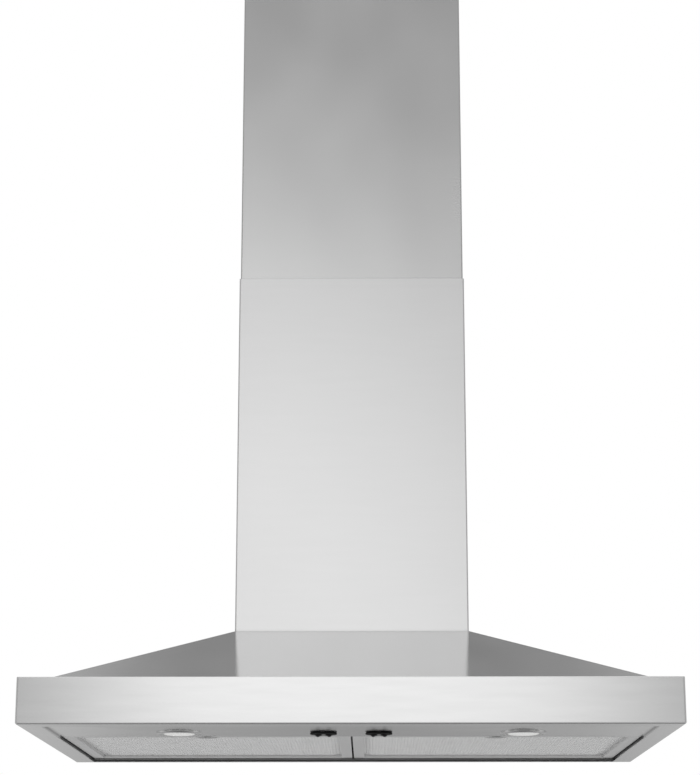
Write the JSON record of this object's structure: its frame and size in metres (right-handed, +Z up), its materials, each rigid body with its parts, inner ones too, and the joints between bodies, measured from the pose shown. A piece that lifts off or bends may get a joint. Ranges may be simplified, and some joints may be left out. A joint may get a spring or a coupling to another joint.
{
  "type": "chimney range hood",
  "caption": "Wall-mounted chimney range hood: low pyramid canopy with a flat band, telescopic flue, grease filters, lamps, rotary controls and an internal blower.",
  "frame": {"origin": "centre of the four wall screw holes, on the wall face of the back panel", "axes": "+Y into the wall, -Y towards the room, +Z up, +X to the right seen from the room"},
  "size_m": [0.76, 0.5, 1.0675],
  "materials": {
    "stainless_brushed": "brushed stainless steel sheet",
    "galvanised_sheet": "galvanised steel sheet",
    "rail_black": "black coated steel sheet",
    "filter_aluminium": "satin aluminium mesh and frame",
    "knob_black": "black moulded plastic",
    "chrome_trim": "polished chrome",
    "lens_glass": "frosted glass",
    "bulb_glass": "reflector lamp glass",
    "ceramic_white": "white ceramic",
    "switch_plastic": "dark moulded plastic",
    "motor_paint": "grey painted steel",
    "zinc_screw": "zinc plated steel",
    "rubber_black": "soft rubber",
    "capacitor_plastic": "white plastic can",
    "terminal_plastic": "cream moulded plastic",
    "lead_sheath": "grey flexible sheath"
  },
  "bodies": {
    "hood": {"fascia_band": "stainless_brushed", "canopy_shell": "stainless_brushed", "lower_flue": "stainless_brushed", "control_panel": "stainless_brushed", "side_rail_left": "rail_black", "side_rail_right": "rail_black", "centre_rail": "rail_black", "rear_rail": "rail_black", "back_panel": "galvanised_sheet", "blower_box": "galvanised_sheet", "scroll_wrap": "galvanised_sheet", "scroll_side_left": "galvanised_sheet", "scroll_side_right": "galvanised_sheet", "motor_bracket": "galvanised_sheet", "duct_collar": "galvanised_sheet", "upper_flue_bracket": "galvanised_sheet", "wiring_box": "galvanised_sheet", "wiring_box_cover": "galvanised_sheet", "lamp_housing_left": "galvanised_sheet", "lamp_housing_right": "galvanised_sheet", "lamp_ring_left": "chrome_trim", "lamp_ring_right": "chrome_trim", "lamp_lens_left": "lens_glass", "lamp_lens_right": "lens_glass", "lamp_bulb_left": "bulb_glass", "lamp_bulb_right": "bulb_glass", "lamp_socket_left": "ceramic_white", "lamp_socket_right": "ceramic_white", "light_switch": "switch_plastic", "fan_switch": "switch_plastic", "cable_gland": "switch_plastic", "motor": "motor_paint", "blower_screws": "zinc_screw", "cover_screws": "zinc_screw", "flue_screws": "zinc_screw", "switch_nuts": "zinc_screw", "damper_axle": "zinc_screw", "motor_isolators": "rubber_black", "capacitor": "capacitor_plastic", "terminal_block": "terminal_plastic", "motor_lead": "lead_sheath", "switch_lead": "lead_sheath", "lamp_lead_left": "lead_sheath", "lamp_lead_right": "lead_sheath"},
    "telescopic_flue": {"upper_flue": "stainless_brushed", "upper_flue_screws": "zinc_screw"},
    "left_filter": {"filter_frame_left": "filter_aluminium", "filter_mesh_left": "filter_aluminium"},
    "right_filter": {"filter_frame_right": "filter_aluminium", "filter_mesh_right": "filter_aluminium"},
    "left_latch": {"latch_left": "zinc_screw"},
    "right_latch": {"latch_right": "zinc_screw"},
    "light_control": {"light_knob": "knob_black", "light_shaft": "zinc_screw"},
    "fan_control": {"fan_knob": "knob_black", "fan_shaft": "zinc_screw"},
    "fan_rotor": {"impeller": "galvanised_sheet", "motor_shaft": "zinc_screw"},
    "front_flap": {"damper_flap_front": "galvanised_sheet"},
    "rear_flap": {"damper_flap_rear": "galvanised_sheet"}
  },
  "joints": [
    {"name": "flue_slide", "type": "slide", "parent": "hood", "child": "telescopic_flue", "axis": [0, 0, -1], "range_m": [0, 0.38]},
    {"name": "left_filter_swing", "type": "hinge", "parent": "hood", "child": "left_filter", "pos_m": [0, -0.014, -0.0728], "axis": [1, 0, 0], "range_deg": [0, 80]},
    {"name": "right_filter_swing", "type": "hinge", "parent": "hood", "child": "right_filter", "pos_m": [0, -0.014, -0.0728], "axis": [1, 0, 0], "range_deg": [0, 80]},
    {"name": "left_latch_slide", "type": "slide", "parent": "left_filter", "child": "left_latch", "axis": [0, 1, 0], "range_m": [0, 0.005], "stiffness_N_per_m": 200, "springref_m": -0.002},
    {"name": "right_latch_slide", "type": "slide", "parent": "right_filter", "child": "right_latch", "axis": [0, 1, 0], "range_m": [0, 0.005], "stiffness_N_per_m": 200, "springref_m": -0.002},
    {"name": "light_knob_turn", "type": "hinge", "parent": "hood", "child": "light_control", "pos_m": [-0.033, -0.3715, -0.072], "axis": [0, 0, 1], "range_deg": [0, 90]},
    {"name": "fan_knob_turn", "type": "hinge", "parent": "hood", "child": "fan_control", "pos_m": [0.033, -0.3715, -0.072], "axis": [0, 0, 1], "range_deg": [0, 135]},
    {"name": "rotor_spin", "type": "hinge", "parent": "hood", "child": "fan_rotor", "pos_m": [0, -0.15, 0.178], "axis": [1, 0, 0], "continuous": true},
    {"name": "front_flap_swing", "type": "hinge", "parent": "hood", "child": "front_flap", "pos_m": [0, -0.1, 0.381], "axis": [-1, 0, 0], "range_deg": [0, 75]},
    {"name": "rear_flap_swing", "type": "hinge", "parent": "hood", "child": "rear_flap", "pos_m": [0, -0.1, 0.381], "axis": [1, 0, 0], "range_deg": [0, 75]}
  ]
}
